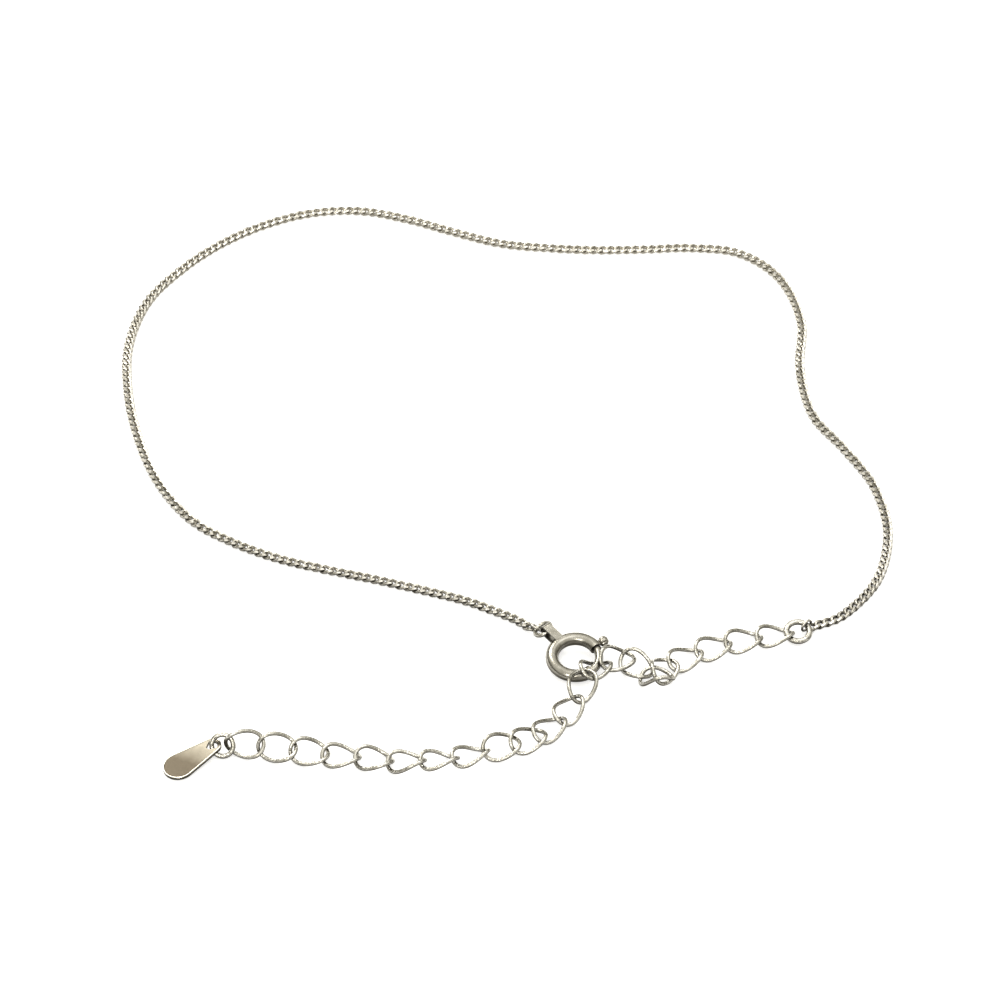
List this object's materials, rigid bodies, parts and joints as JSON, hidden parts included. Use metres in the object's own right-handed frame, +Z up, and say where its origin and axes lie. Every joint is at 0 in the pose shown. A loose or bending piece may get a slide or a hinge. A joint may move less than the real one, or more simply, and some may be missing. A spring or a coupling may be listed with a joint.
{
  "type": "chain anklet",
  "caption": "Fine white-gold chain anklet with a spring ring, an open-link extender and a small drop tag, laid out flat.",
  "frame": {"origin": "under the middle of its box, on the surface that it lies on", "axes": "+X to the right, +Y away from the viewer across the loop, +Z up from the surface"},
  "size_m": [0.0734, 0.0808, 0.0027],
  "materials": {
    "chain": "polished white gold, fine facets",
    "extender": "polished white gold wire",
    "fittings": "polished white gold",
    "tag": "polished white gold, warm reflection"
  },
  "bodies": {
    "anklet": {"main_chain": "chain", "clasp_jump_ring": "fittings", "spring_ring": "fittings", "end_ring": "fittings", "extender_link_01": "extender", "extender_link_02": "extender", "extender_link_03": "extender", "extender_link_04": "extender", "extender_link_05": "extender", "extender_link_06": "extender", "extender_link_07": "extender", "extender_link_08": "extender", "extender_link_09": "extender", "extender_link_10": "extender", "extender_link_11": "extender", "extender_link_12": "extender", "extender_link_13": "extender", "extender_link_14": "extender", "extender_link_15": "extender", "extender_link_16": "extender", "extender_link_17": "extender", "extender_link_18": "extender", "extender_link_19": "extender", "extender_link_20": "extender", "extender_link_21": "extender", "extender_link_22": "extender", "tag_jump_ring": "fittings", "drop_tag": "tag"},
    "gate": {"gate_lever": "fittings"}
  },
  "joints": [
    {"name": "gate_slide", "type": "hinge", "parent": "anklet", "child": "gate", "pos_m": [0.00685, -0.02536, 0.00095], "axis": [0, -0.1392, 0.9903], "range_deg": [0, 58], "stiffness_Nm_per_rad": 0.0002, "springref_deg": -34.38}
  ]
}
